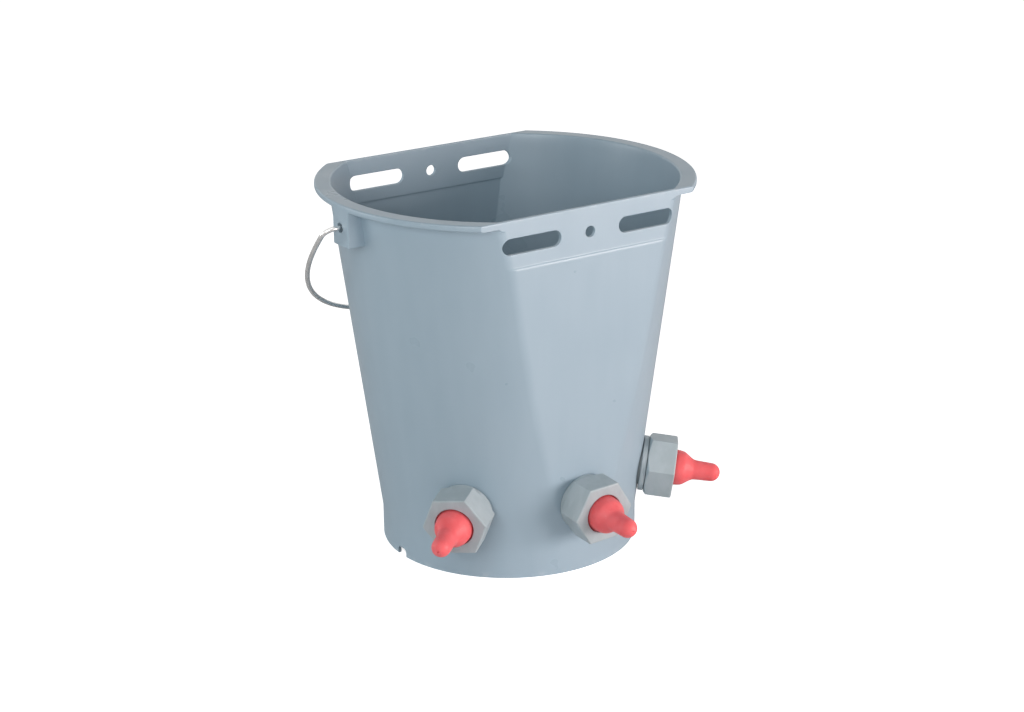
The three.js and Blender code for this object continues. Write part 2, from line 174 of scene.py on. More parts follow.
class Paint:
    def __init__(self, name, color, roughness, metallic=0.0, specular=0.5):
        self.material = bpy.data.materials.new(name)
        self.material.use_nodes = True
        self.tree = self.material.node_tree
        self.tree.nodes.clear()
        self.where = self.add("ShaderNodeTexCoord").outputs["Object"]
        self.shader = self.add("ShaderNodeBsdfPrincipled", {}, {
            "Base Color": (*color, 1), "Roughness": roughness, "Metallic": metallic,
            "Specular IOR Level": specular})
        self.add("ShaderNodeOutputMaterial", {}, {"Surface": self.shader.outputs["BSDF"]})

    def add(self, kind, settings=None, inputs=None):
        node = self.tree.nodes.new(kind)
        for key, value in (settings or {}).items():
            setattr(node, key, value)
        for key, value in (inputs or {}).items():
            if isinstance(value, bpy.types.NodeSocket):
                self.tree.links.new(value, node.inputs[key])
            else:
                node.inputs[key].default_value = value
        return node

    def noise(self, scale, detail=2.0, stretch=(1, 1, 1), vector=None):
        spot = self.add("ShaderNodeMapping", {}, {"Vector": vector or self.where, "Scale": stretch})
        made = self.add("ShaderNodeTexNoise", {}, {
            "Vector": spot.outputs["Vector"], "Scale": scale, "Detail": detail})
        return made.outputs["Fac"]

    def remap(self, value, fromLow, fromHigh, toLow, toHigh):
        made = self.add("ShaderNodeMapRange", {"interpolation_type": "SMOOTHERSTEP"}, {
            "Value": value, "From Min": fromLow, "From Max": fromHigh,
            "To Min": toLow, "To Max": toHigh})
        return made.outputs["Result"]

    def calc(self, kind, a, b):
        return self.add("ShaderNodeMath", {"operation": kind}, {0: a, 1: b}).outputs[0]

    def mix(self, factor, a, b):
        made = self.add("ShaderNodeMix", {"data_type": "RGBA"})
        for index, value in ((0, factor), (6, a), (7, b)):
            if isinstance(value, bpy.types.NodeSocket):
                self.tree.links.new(value, made.inputs[index])
            else:
                made.inputs[index].default_value = value if index == 0 else (*value, 1)
        return made.outputs[2]

    def height(self):
        split = self.add("ShaderNodeSeparateXYZ", {}, {"Vector": self.where})
        return split.outputs["Z"]

    # Stacks (height, distance in metres) layers into the shader's normal.
    def bump(self, layers):
        normal = None
        for value, distance in layers:
            inputs = {"Height": value, "Distance": distance, "Strength": 1.0}
            if normal is not None:
                inputs["Normal"] = normal
            normal = self.add("ShaderNodeBump", {}, inputs).outputs["Normal"]
        self.tree.links.new(normal, self.shader.inputs["Normal"])

    def set(self, socket, value):
        self.tree.links.new(value, self.shader.inputs[socket])


pailFinish = dict(color=(0.345, 0.450, 0.525), deep=(0.322, 0.427, 0.502), worn=(0.46, 0.54, 0.60),
                  cloudScale=7, streakScale=70, streakStretch=(1, 1, 0.2), patchScale=120,
                  scuffRoughness=0.3, footScuff=(0.001, 0.007), rimScuff=(0.2965, 0.2998),
                  smearScale=26, peelScale=1100, peelDepth=0.00001, rippleScale=14,
                  rippleDepth=0.00004, roughLow=0.27, roughHigh=0.36)


def pailPlastic():
    f = pailFinish
    paint = Paint("pailPlastic", f["color"], f["roughLow"])
    clouds = paint.noise(f["cloudScale"], 3)
    streaks = paint.noise(f["streakScale"], 1, f["streakStretch"])
    tone = paint.remap(paint.calc("ADD", clouds, streaks), 0.3, 1.7, 0, 1)
    body = paint.mix(tone, f["deep"], f["color"])
    height = paint.height()
    foot = paint.remap(height, *f["footScuff"], 1, 0)
    rim = paint.remap(height, *f["rimScuff"], 0, 1)
    edge = paint.calc("MAXIMUM", foot, rim)
    patch = paint.remap(paint.noise(f["patchScale"], 4), 0.5, 0.72, 0, 0.55)
    scuff = paint.calc("MULTIPLY", edge, patch)
    paint.set("Base Color", paint.mix(scuff, body, f["worn"]))
    smear = paint.noise(f["smearScale"], 3)
    gloss = paint.remap(smear, 0.2, 0.8, f["roughLow"], f["roughHigh"])
    rough = paint.calc("MULTIPLY", scuff, f["scuffRoughness"])
    paint.set("Roughness", paint.calc("ADD", gloss, rough))
    peel = paint.noise(f["peelScale"], 1)
    ripple = paint.noise(f["rippleScale"], 0)
    paint.bump([(ripple, f["rippleDepth"]), (peel, f["peelDepth"])])
    return paint.material


valveFinish = dict(color=(0.405, 0.475, 0.505), deep=(0.365, 0.435, 0.462), worn=(0.48, 0.53, 0.55),
                   cloudScale=45, swirlScale=160, rubScale=300, smearScale=90, sinkScale=70,
                   sinkDepth=0.00008, grainScale=2600, grainDepth=0.00001, roughLow=0.36,
                   roughHigh=0.48)


def valvePlastic():
    f = valveFinish
    paint = Paint("valvePlastic", f["color"], f["roughLow"])
    clouds = paint.noise(f["cloudScale"], 3)
    swirl = paint.noise(f["swirlScale"], 3, (1, 1, 0.3))
    tone = paint.remap(paint.calc("ADD", clouds, swirl), 0.75, 1.3, 0, 1)
    body = paint.mix(tone, f["deep"], f["color"])
    rubbed = paint.remap(paint.noise(f["rubScale"], 4), 0.6, 0.78, 0, 0.35)
    paint.set("Base Color", paint.mix(rubbed, body, f["worn"]))
    smear = paint.noise(f["smearScale"], 3)
    paint.set("Roughness", paint.remap(smear, 0.35, 0.7, f["roughLow"], f["roughHigh"]))
    grain = paint.noise(f["grainScale"], 2)
    sink = paint.noise(f["sinkScale"], 1)
    paint.bump([(sink, f["sinkDepth"]), (grain, f["grainDepth"])])
    return paint.material


teatFinish = dict(color=(0.89, 0.15, 0.165), deep=(0.85, 0.125, 0.138), bloom=(0.90, 0.25, 0.26),
                  cloudScale=80, dustScale=420, smearScale=130, waveScale=110, waveDepth=0.00009,
                  poreScale=3200, poreDepth=0.000012, roughLow=0.42, roughHigh=0.56,
                  softness=0.45, softRadius=(0.006, 0.0014, 0.0012))


def teatRubber():
    f = teatFinish
    paint = Paint("teatRubber", f["color"], f["roughLow"], 0.0, 0.35)
    clouds = paint.noise(f["cloudScale"], 3)
    body = paint.mix(paint.remap(clouds, 0.35, 0.65, 0, 1), f["deep"], f["color"])
    dust = paint.remap(paint.noise(f["dustScale"], 4), 0.55, 0.8, 0, 0.3)
    paint.set("Base Color", paint.mix(dust, body, f["bloom"]))
    smear = paint.noise(f["smearScale"], 3)
    paint.set("Roughness", paint.remap(smear, 0.3, 0.7, f["roughLow"], f["roughHigh"]))
    pores = paint.noise(f["poreScale"], 2)
    wave = paint.noise(f["waveScale"], 1)
    paint.bump([(wave, f["waveDepth"]), (pores, f["poreDepth"])])
    paint.shader.inputs["Subsurface Weight"].default_value = f["softness"]
    paint.shader.inputs["Subsurface Radius"].default_value = f["softRadius"]
    paint.shader.inputs["Subsurface Scale"].default_value = 1.0
    return paint.material


sealFinish = dict(color=(0.028, 0.029, 0.03), deep=(0.02, 0.021, 0.022),
                  dusty=(0.045, 0.046, 0.047), rough=0.6, roughLow=0.5, roughHigh=0.72,
                  dustScale=240, smearScale=150, grainScale=3000, grainDepth=0.00001)


def sealRubber():
    f = sealFinish
    paint = Paint("sealRubber", f["color"], f["rough"], 0.0, 0.4)
    tone = paint.remap(paint.noise(f["dustScale"], 3), 0.35, 0.7, 0, 1)
    paint.set("Base Color", paint.mix(tone, f["deep"], f["dusty"]))
    smear = paint.noise(f["smearScale"], 3)
    paint.set("Roughness", paint.remap(smear, 0.3, 0.7, f["roughLow"], f["roughHigh"]))
    paint.bump([(paint.noise(f["grainScale"], 2), f["grainDepth"])])
    return paint.material


ballFinish = dict(color=(0.78, 0.79, 0.77), deep=(0.72, 0.73, 0.70), light=(0.80, 0.81, 0.79),
                  rough=0.35, roughLow=0.28, roughHigh=0.45, cloudScale=120, smearScale=260,
                  grainScale=2800, grainDepth=0.000008)


def ballPlastic():
    f = ballFinish
    paint = Paint("ballPlastic", f["color"], f["rough"])
    tone = paint.remap(paint.noise(f["cloudScale"], 3), 0.35, 0.7, 0, 1)
    paint.set("Base Color", paint.mix(tone, f["deep"], f["light"]))
    smear = paint.noise(f["smearScale"], 3)
    paint.set("Roughness", paint.remap(smear, 0.3, 0.7, f["roughLow"], f["roughHigh"]))
    paint.bump([(paint.noise(f["grainScale"], 2), f["grainDepth"])])
    return paint.material


wireFinish = dict(color=(0.90, 0.89, 0.875), dull=(0.74, 0.74, 0.73), roughLow=0.16, roughHigh=0.36)


def zincWire():
    f = wireFinish
    paint = Paint("zincWire", f["color"], f["roughLow"], 1.0)
    along = paint.add("ShaderNodeAttribute", {"attribute_name": "alongWire"}).outputs["Fac"]
    around = paint.add("ShaderNodeAttribute", {"attribute_name": "aroundWire"}).outputs["Fac"]
    turn = paint.calc("MULTIPLY", around, 2 * math.pi)
    spot = paint.add("ShaderNodeCombineXYZ", {}, {
        "X": paint.calc("COSINE", turn, 0.0), "Y": paint.calc("SINE", turn, 0.0),
        "Z": paint.calc("MULTIPLY", along, 22.0)}).outputs["Vector"]
    drawn = paint.noise(2.6, 4, (1, 1, 0.35), spot)
    fine = paint.noise(7.5, 3, (1, 1, 0.12), spot)
    mottle = paint.noise(260, 4)
    tone = paint.remap(paint.calc("ADD", drawn, mottle), 0.8, 1.25, 0, 1)
    paint.set("Base Color", paint.mix(tone, f["dull"], f["color"]))
    paint.set("Roughness", paint.remap(paint.calc("ADD", fine, mottle), 0.75, 1.25,
                                       f["roughLow"], f["roughHigh"]))
    paint.bump([(fine, 0.00002), (mottle, 0.00001)])
    return paint.material


pailPaint, valvePaint, teatPaint = pailPlastic(), valvePlastic(), teatRubber()
sealPaint, ballPaint, wirePaint = sealRubber(), ballPlastic(), zincWire()
print("materials made")


pailSizes = dict(rim=300, footRadius=103.8, footHeight=25, taper=36 / 275, wall=3,
                 flatFoot=104.3, flatSlope=10.9 / 238, band=114.2, ledge=263,
                 cornerLow=26, cornerHigh=14, innerCorner=2.2, rimRound=1, innerRimRound=0.8,
                 mouthRound=1.9, mouthInset=0.06, ledgeDrop=2.4, floorUnder=12, floorTop=15.5,
                 floorFillet=5, footRound=0.8, underRound=1.2,
                 arcColumns=30, cornerColumns=8, flatColumns=22, rowStep=5.5)
# (height, share of the step) points up the ledge below the band of slots.
ledgeShape = ((0, 0.0), (1.0, 0.06), (1.7, 0.2), (2.1, 0.42), (2.35, 0.66), (2.6, 0.84),
              (3.1, 0.96))


def wallRadius(z):
    p = pailSizes
    return p["footRadius"] + p["taper"] * max(z - p["footHeight"], 0)


def flatReach(z):
    p = pailSizes
    start = p["ledge"] - p["ledgeDrop"]
    slope = p["flatFoot"] + p["flatSlope"] * (min(max(z, p["footHeight"]), start) - p["footHeight"])
    if z <= start:
        return slope
    depth = np.interp(z - start, [a for a, _ in ledgeShape], [b for _, b in ledgeShape])
    return slope - (slope - p["band"]) * depth / ledgeShape[-1][1]


def outerCorner(z):
    p = pailSizes
    return float(np.interp(z, [p["footHeight"], p["ledge"]], [p["cornerLow"], p["cornerHigh"]]))


# One level round the pail: a circle cut by two flats, its corners rounded.
def sectionRing(z, radius, reach, corner):
    p = pailSizes
    flat, join = math.radians(82), math.radians(79)
    bent = reach < radius - 0.01
    if bent:
        cx, cy = math.sqrt((radius - corner) ** 2 - (reach - corner) ** 2), reach - corner
        flat, join = min(math.atan2(reach, cx), flat), min(math.atan2(cy, cx), join)
    quarter = np.concatenate([
        np.linspace(0, join, p["arcColumns"], endpoint=False),
        np.linspace(join, flat, p["cornerColumns"], endpoint=False),
        np.linspace(flat, math.pi / 2, p["flatColumns"] + 1)])
    r = np.full(len(quarter), float(radius))
    if bent:
        reachable = reach / np.maximum(np.sin(quarter), 1e-6)
        line = cx * np.cos(quarter) + cy * np.sin(quarter)
        inside = corner**2 - (cx**2 + cy**2 - line**2)
        filleted = line + np.sqrt(np.maximum(inside, 0))
        r = np.where(quarter <= math.atan2(cy, cx), radius, filleted)
        r = np.where(quarter >= math.atan2(reach, cx), reachable, r)
    x, y = r * np.cos(quarter), r * np.sin(quarter)
    xs = np.concatenate([x[:-1], -x[::-1][:-1], -x[:-1], x[::-1][:-1]])
    ys = np.concatenate([y[:-1], y[::-1][:-1], -y[:-1], -y[::-1][:-1]])
    return np.column_stack([xs, ys, np.full(len(xs), z)])


def levels():
    p = pailSizes
    steps = int((p["ledge"] - 8 - p["footHeight"]) / p["rowStep"])
    low = list(np.linspace(p["footHeight"], p["ledge"] - 8, steps))
    mid = [p["ledge"] + d for d in (-5, -3.4, -2.4, -1.9, -1.4, -1, -0.7, -0.45, -0.25,
                                    -0.05, 0.15, 0.35, 0.7, 2, 5)]
    high = list(np.linspace(p["ledge"] + 9, p["rim"] - 4, 7))
    return low + mid + high


def pailShell():
    p = pailSizes
    wall, rim = p["wall"], p["rim"]
    inFoot = p["footRadius"] - wall
    rings = []

    def level(z, radius, reach, corner):
        rings.append(sectionRing(z, radius, reach, corner))

    def roundLevel(z, radius):
        level(z, radius, radius + 1, 2)

    foot, under = p["footRound"], p["underRound"]
    for radius in (20, 50, 80, 96, inFoot - under):
        roundLevel(p["floorUnder"], radius)
    outline = arc(inFoot - under, p["floorUnder"] - under, under, 60, 0, 2)
    outline += [(inFoot, 6)] + arc(inFoot + foot, foot, foot, 180, 270, 4)
    outline += arc(p["footRadius"] - foot, foot, foot, -90, 0, 4)
    outline += [(p["footRadius"], z) for z in (3, 6, 10, 15, 20)]
    for radius, z in outline:
        roundLevel(z, radius)
    for z in levels():
        level(z, wallRadius(z), flatReach(z), outerCorner(z))
    edge = p["rimRound"]
    for t in np.radians(np.linspace(0, 90, 7)):
        z = rim - edge + edge * math.sin(t)
        inset = edge * (1 - math.cos(t))
        level(z, wallRadius(z) - inset, p["band"] - inset, outerCorner(z))
    mouth, inner = p["mouthRound"], p["innerRimRound"]
    for t in np.radians(np.linspace(90, 0, 9)):
        z = rim - mouth + mouth * math.sin(t)
        away = mouth * (1 - math.cos(t))
        radius = wallRadius(rim) - wall + mouth - mouth * math.cos(t)
        rise = max(z - (rim - inner), 0)
        reach = p["band"] - wall + inner - math.sqrt(max(inner**2 - rise**2, 0))
        level(z, radius - p["mouthInset"], reach, p["innerCorner"] + away)
    for z in reversed(levels()):
        corner = np.interp(z, [25, 200, 300], [8, 4, p["innerCorner"]])
        level(z, wallRadius(z) - wall, flatReach(z) - wall, corner)
    floor, fillet = p["floorTop"], p["floorFillet"]
    for r, z in arc(inFoot - fillet, floor + fillet, fillet, 0, -90, 8):
        roundLevel(z, r)
    for radius in (88, 70, 50, 30, 12):
        roundLevel(floor, radius)
    poles = ((0, 0, p["floorUnder"]), (0, 0, floor))
    return skin("bucketShell", rings, False, poles)


flangeSizes = dict(radius=150, under=295, top=299.98, edge=1.6, fillet=3, reach=114.18,
                   corner=1.4, endRound=1, buriedReach=112.65, buriedCorner=4)


# The outward lip over the round sides, cut off flush with the flats.
def rimFlange():
    f = flangeSizes
    top, under, edge = f["top"], f["under"], f["edge"]
    throat = wallRadius(under - f["fillet"])
    profile = [(137.3, under - f["fillet"] - 0.6), (138.2, 297), (138.75, top)]
    profile += [(r, top) for r in (141, 144, 147)]
    profile += arc(f["radius"] - edge, top - edge, edge, 90, 0, 7)
    profile += arc(f["radius"] - edge, under + edge, edge, 0, -90, 6)
    profile.append((145, under))
    profile += arc(throat + f["fillet"], under - f["fillet"], f["fillet"], 90, 180, 6)
    rings = []
    for radius, z in profile:
        over = max(z - (top - f["endRound"]), 0)
        inset = f["endRound"] - math.sqrt(max(f["endRound"] ** 2 - over**2, 0))
        buried = radius < 139 and z > under - 4 and radius != throat
        reach = f["buriedReach"] if buried else f["reach"] - inset
        rings.append(sectionRing(z, radius, reach, f["buriedCorner"] if buried else f["corner"]))
    return skin("rimFlange", rings, True)


lugSizes = dict(width=23, bottom=267, face=150, plate=3, cheek=2.5, roof=293, edge=1.3,
                hole=4, pivot=281.5, top=297.6, sunk=1.5, toe=1.1)


def lugSection(y, side, outline):
    return [(side * math.sqrt(r * r - y * y), y, z) for r, z in outline]


def bailLug(side):
    s = lugSizes
    buried = lambda z: wallRadius(z) - s["sunk"]
    half, edge, toe = s["width"] / 2, s["edge"], s["toe"]
    stations = [half - edge + edge * math.sin(t) for t in np.radians(np.linspace(0, 90, 7))]
    stations = [-v for v in reversed(stations)] + [-5, 0, 5] + stations
    rings = []
    for y in stations:
        over = max(abs(y) - (half - edge), 0)
        inset = edge - math.sqrt(max(edge**2 - over**2, 0))
        face, low = s["face"] - inset, s["bottom"] + inset
        outline = [(buried(low), low), (face - 8, low)] + arc(face - toe, low + toe, toe, -90, 0, 4)
        outline += [(face, 280), (face, s["top"]), (buried(297), s["top"]), (buried(280), 280)]
        rings.append(lugSection(y, side, outline))
    block = skin("bailLug", rings)
    inside = s["width"] / 2 - s["cheek"]
    pocket = [(110, s["bottom"] - 3), (s["face"] - s["plate"], s["bottom"] - 3),
              (s["face"] - s["plate"], s["roof"]), (110, s["roof"])]
    room = skin("lugRoom", [lugSection(y, side, pocket) for y in np.linspace(-inside, inside, 7)])
    return combine(block, "DIFFERENCE", room)


# Outline of a slot: (across, up) points, grown by some margin.
def roundedBox(width, height, radius, grow):
    a, b, r = width / 2 - radius, height / 2 - radius, radius + grow
    corners = ((a, b, 0), (-a, b, 90), (-a, -b, 180), (a, -b, 270))
    return [q for cx, cy, start in corners for q in arc(cx, cy, r, start, start + 90, 9)]


# A cutter through a wall between two depths, with its edges rounded over at both faces.
def flared(name, width, height, radius, faceOut, faceIn, flareOut, flareIn, spot):
    rings = []
    for depth, grow in [(faceOut + 3, flareOut)] + [
            (faceOut - flareOut * (1 - math.cos(t)), flareOut * (1 - math.sin(t)))
            for t in np.radians(np.linspace(0, 90, 7))]:
        rings.append([spot(a, b, depth) for a, b in roundedBox(width, height, radius, grow)])
    for depth, grow in [(faceIn + flareIn * (1 - math.cos(t)), flareIn * (1 - math.sin(t)))
                        for t in np.radians(np.linspace(90, 0, 6))] + [(faceIn - 3, flareIn)]:
        rings.append([spot(a, b, depth) for a, b in roundedBox(width, height, radius, grow)])
    return skin(name, rings)


slotSizes = dict(height=280, spacing=104.7, length=51.6, width=12.6, hook=8.7, flareOut=0.4,
                 flareIn=0.4, notchWidth=12, notchHeight=6.5, valveHole=19.8)


def openings():
    s, p = slotSizes, pailSizes
    outer, inner = p["band"], p["band"] - p["wall"]
    half, rise = s["spacing"] / 2, s["notchHeight"]
    cutters = []
    for side in (-1, 1):
        for centre, length in ((-half, s["length"]), (half, s["length"]), (0, s["hook"])):
            wide = s["width"] if centre else s["hook"]
            spot = lambda a, b, d, c=centre: (c + a, side * d, s["height"] + b)
            cutters.append(flared("slotCutter", length, wide, wide / 2 - 0.01, outer, inner,
                                  s["flareOut"], s["flareIn"], spot))
        spot = lambda a, b, d: (side * d, a, lugSizes["pivot"] + b)
        cutters.append(flared("lugCutter", 2 * lugSizes["hole"], 2 * lugSizes["hole"],
                              lugSizes["hole"] - 0.01, lugSizes["face"], 147, 0.35, 0.2, spot))
        spot = lambda a, b, d: (side * d, a, b)
        cutters.append(flared("notchCutter", s["notchWidth"], 2 * rise, rise / 2, p["footRadius"],
                              p["footRadius"] - p["wall"], 0.4, 0.3, spot))
    return cutters


def valveFrame(number):
    joint = joints[f"nut_screw_{number}"]
    axis = Vector(joint["axis"]).normalized()
    side = Vector((0, 0, 1)).cross(axis).normalized()
    up = axis.cross(side)
    matrix = Matrix((side, up, axis)).transposed().to_4x4()
    matrix.translation = Vector(joint["pos_m"])
    return matrix


def valveCutter(number):
    tool = skin("valveCutter", [circle(slotSizes["valveHole"], z, 72) for z in (-14, -2, 4)])
    toPail = valveFrame(number)
    toPail.translation = toPail.translation / mm - Vector((0, pailAxisY, 0))
    tool.data.transform(toPail)
    return tool


def bucket():
    shell = pailShell()
    combine(shell, "UNION", rimFlange(), bailLug(-1), bailLug(1))
    combine(shell, "DIFFERENCE", *openings(), *[valveCutter(n) for n in (1, 2, 3)])
    shell.name = "bucketShell"
    place(shell, Matrix.Translation((0, pailAxisY * mm, 0)))
    shade(shell, 38)
    return deliver(shell, pailPaint, "bucket", "pail")


bucket()
print("bucket made")


bailSizes = dict(radius=1.97, sideGap=12.6, reach=163.5, squareness=2.33, shoulder=8, hookBend=3.2,
                 hookLength=7, profileSides=20)


def bailPath():
    b = bailSizes
    span = flangeSizes["radius"] + b["sideGap"]
    inner = flangeSizes["radius"] - lugSizes["plate"] - 4 - b["hookBend"] / 2
    start = math.asin((b["shoulder"] / b["reach"]) ** (b["squareness"] / 2))
    half = [(inner, b["hookLength"]), (inner, b["hookLength"] - 1.5)]
    half += arc(inner + b["hookBend"], b["hookBend"], b["hookBend"], 180, 270, 8)
    half += arc(span - b["shoulder"], b["shoulder"], b["shoulder"], -90, 0, 12)
    for angle in np.linspace(start, math.pi / 2, 70)[1:]:
        power = 2 / b["squareness"]
        across, along = max(math.cos(angle), 0) ** power, math.sin(angle) ** power
        half.append((span * across, b["reach"] * along))
    half[-1] = (0, b["reach"])
    return half + [(-x, y) for x, y in half[-2::-1]]


# Sweeps a round section along the edges of a line and stores where each point lies on it.
def wireTree():
    tree = bpy.data.node_groups.new("bailWire", "GeometryNodeTree")
    face = tree.interface
    face.new_socket("Line", in_out="INPUT", socket_type="NodeSocketGeometry")
    radius = face.new_socket("Wire radius", in_out="INPUT", socket_type="NodeSocketFloat")
    sides = face.new_socket("Sides", in_out="INPUT", socket_type="NodeSocketInt")
    finish = face.new_socket("Finish", in_out="INPUT", socket_type="NodeSocketMaterial")
    face.new_socket("Wire", in_out="OUTPUT", socket_type="NodeSocketGeometry")
    add, link = tree.nodes.new, tree.links.new
    start, end = add("NodeGroupInput"), add("NodeGroupOutput")
    curve = add("GeometryNodeMeshToCurve")
    link(start.outputs["Line"], curve.inputs["Mesh"])
    section = add("GeometryNodeCurvePrimitiveCircle")
    link(start.outputs["Wire radius"], section.inputs["Radius"])
    link(start.outputs["Sides"], section.inputs["Resolution"])
    shapes = []
    for source, name, output in ((curve.outputs["Curve"], "alongWire", "Length"),
                                 (section.outputs["Curve"], "aroundWire", "Factor")):
        store = add("GeometryNodeStoreNamedAttribute")
        store.data_type, store.domain = "FLOAT", "POINT"
        store.inputs["Name"].default_value = name
        link(source, store.inputs["Geometry"])
        link(add("GeometryNodeSplineParameter").outputs[output], store.inputs["Value"])
        shapes.append(store.outputs["Geometry"])
    sweep = add("GeometryNodeCurveToMesh")
    sweep.inputs["Fill Caps"].default_value = True
    link(shapes[0], sweep.inputs["Curve"])
    link(shapes[1], sweep.inputs["Profile Curve"])
    smooth, paint, real = (add(kind) for kind in (
        "GeometryNodeSetShadeSmooth", "GeometryNodeSetMaterial", "GeometryNodeRealizeInstances"))
    link(sweep.outputs["Mesh"], smooth.inputs["Geometry"])
    link(smooth.outputs["Geometry"], real.inputs["Geometry"])
    link(real.outputs["Geometry"], paint.inputs["Geometry"])
    link(start.outputs["Finish"], paint.inputs["Material"])
    link(paint.outputs["Geometry"], end.inputs["Wire"])
    return tree, radius, sides, finish


def bailHandle():
    b = bailSizes
    low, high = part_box("bail_handle")
    pivot = Vector(joints["bail_swing"]["pos_m"])
    drop = pivot.z - (low.z + 2 * mm)
    away = (high.y - 2 * mm) - pivot.y
    lean = math.atan2(drop, away)
    points = [(x * mm, pivot.y + y * mm * math.cos(lean), pivot.z - y * mm * math.sin(lean))
              for x, y in bailPath()]
    mesh = bpy.data.meshes.new("bailWire")
    mesh.from_pydata(points, [(i, i + 1) for i in range(len(points) - 1)], [])
    wire = bpy.data.objects.new("bailWire", mesh)
    bpy.context.scene.collection.objects.link(wire)
    tree, radius, sides, finish = wireTree()
    step = wire.modifiers.new("sweep", "NODES")
    step.node_group = tree
    step[radius.identifier] = b["radius"] * mm
    step[sides.identifier] = b["profileSides"]
    step[finish.identifier] = wirePaint
    bake(wire)
    shade(wire, 50, False)
    return deliver(wire, wirePaint, "bail_handle", "bail")


bailHandle()
print("bail made")


threadSizes = dict(core=17.8, height=1.5, pitch=6, root=1.7, crest=0.8, nutBore=19.65, perTurn=48)


def threadRidge(name, start, end, base, outwards):
    t = threadSizes
    steps = int((end - start) / t["pitch"] * t["perTurn"])
    sense, phase = (1, 0) if outwards else (-1, math.pi)
    sunk, runOut = t["height"] / 2, t["perTurn"] / 5
    foot = t["root"] + (t["root"] - t["crest"]) * sunk / t["height"]
    section = [(-sunk, -foot), (0, -t["root"] - 0.15), (t["height"] - 0.3, -t["crest"] - 0.12),
               (t["height"], -t["crest"] + 0.2), (t["height"], t["crest"] - 0.2),
               (t["height"] - 0.3, t["crest"] + 0.12), (0, t["root"] + 0.15), (-sunk, foot)]
    rings = []
    for i in range(steps + 1):
        z = start + (end - start) * i / steps
        angle = 2 * math.pi * z / t["pitch"] + phase
        risen = min(i, steps - i, runOut) / runOut
        radius = base - sense * (1 - risen) * (t["height"] + 0.3)
        rings.append([(r * math.cos(angle), r * math.sin(angle), z + b)
                      for r, b in ((radius + sense * a, b) for a, b in section)])
    return skin(name, rings)


# A valve stands along +Z, its heights measured from the outside of the pail's wall.
valveSizes = dict(flangeFace=-7.61, flangeBack=-10.61, flangeRadius=25, housingEnd=20.6, bore=15,
                  seat=4.8, chamber=8.2, ballClosed=-2.93, travel=4, ball=6.5, retainerBack=7.87,
                  retainer=3, bar=2.6, ringRadius=22.5, ringFront=4.6)


def valveHousing(number):
    v, t = valveSizes, threadSizes
    seatTop = v["flangeFace"] + v["chamber"] - v["seat"]
    counter = v["retainerBack"] - 0.3
    body = [(v["seat"], v["flangeBack"] + 0.5), (v["seat"] + 0.5, v["flangeBack"]),
            (14, v["flangeBack"]), (v["flangeRadius"] - 0.8, v["flangeBack"])]
    body += arc(v["flangeRadius"] - 0.8, v["flangeBack"] + 0.8, 0.8, -90, 0, 4)
    body += arc(v["flangeRadius"] - 0.3, v["flangeFace"] - 0.3, 0.3, 0, 90, 2)
    body += [(t["core"] + 1, v["flangeFace"]), (t["core"], v["flangeFace"] + 0.5), (t["core"], 2),
             (t["core"], v["housingEnd"] - 0.8)]
    body += arc(t["core"] - 0.8, v["housingEnd"] - 0.8, 0.8, 0, 90, 4)
    body += [(v["bore"] + 0.3, v["housingEnd"]), (v["bore"], v["housingEnd"] - 0.3),
             (v["bore"], counter), (v["chamber"] + 0.2, counter),
             (v["chamber"], counter - 0.2), (v["chamber"], seatTop),
             (v["seat"] + 0.2, v["flangeFace"] + 0.2), (v["seat"], v["flangeFace"] - 0.2)]
    housing = turned(f"valveHousing{number}", body, 72)
    combine(housing, "UNION", threadRidge("housingThread", 0.3, 17.35, t["core"], True))
    housing.name = f"valveHousing{number}"
    place(shade(housing, 35), valveFrame(number))
    return deliver(housing, valvePaint, f"valve_housing_{number}", "pail")


# How far along the valve's axis the inside of the pail's wall lies at these points.
def roomHeight(number, x, y):
    toPail = valveFrame(number)
    base, axes = np.array(toPail.translation) / mm - (0, pailAxisY, 0), np.array(toPail.to_3x3())
    low, high = np.full(len(x), -12.0), np.full(len(x), 0.0)
    for _ in range(24):
        middle = (low + high) / 2
        spot = base + np.column_stack([x, y, middle]) @ axes.T
        radius = np.array([wallRadius(z) for z in spot[:, 2]]) - 3.35
        reach = np.array([flatReach(z) for z in spot[:, 2]]) - 3.35
        free = (np.hypot(spot[:, 0], spot[:, 1]) < radius) & (np.abs(spot[:, 1]) < reach)
        low, high = np.where(free, middle, low), np.where(free, high, middle)
    return low


def innerGasket(number):
    v = valveSizes
    back = v["flangeFace"] + 0.3
    inner, outer = slotSizes["valveHole"] + 0.4, v["flangeRadius"] - 0.45
    rings, middle = [], (inner + outer) / 2
    for radius, level in ((inner, 0), (outer, 0), (outer, 1), (outer - 0.5, 1), (middle, 1),
                          (inner + 0.5, 1), (inner, 1)):
        ring = circle(radius, back, 72)
        if level:
            ring[:, 2] = np.maximum(roomHeight(number, ring[:, 0], ring[:, 1]), back + 0.4)
        rings.append(ring)
    gasket = skin(f"innerGasket{number}", rings, True)
    place(shade(gasket, 40), valveFrame(number))
    return deliver(gasket, sealPaint, f"inner_gasket_{number}", "pail")


def backingRing(number):
    v = valveSizes
    inner, outer, front = slotSizes["valveHole"], v["ringRadius"], v["ringFront"]
    profile = [(inner, 0.6), (inner + 0.3, 0.3), (outer - 0.6, 0.3)]
    profile += arc(outer - 0.6, 0.9, 0.6, -60, 0, 3) + arc(outer - 0.9, front - 0.9, 0.9, 0, 90, 5)
    profile += [(inner + 0.4, front), (inner, front - 0.4)]
    ring = turned(f"backingRing{number}", profile, 96)
    place(shade(ring, 40), valveFrame(number))
    return deliver(ring, valvePaint, f"backing_ring_{number}", "pail")


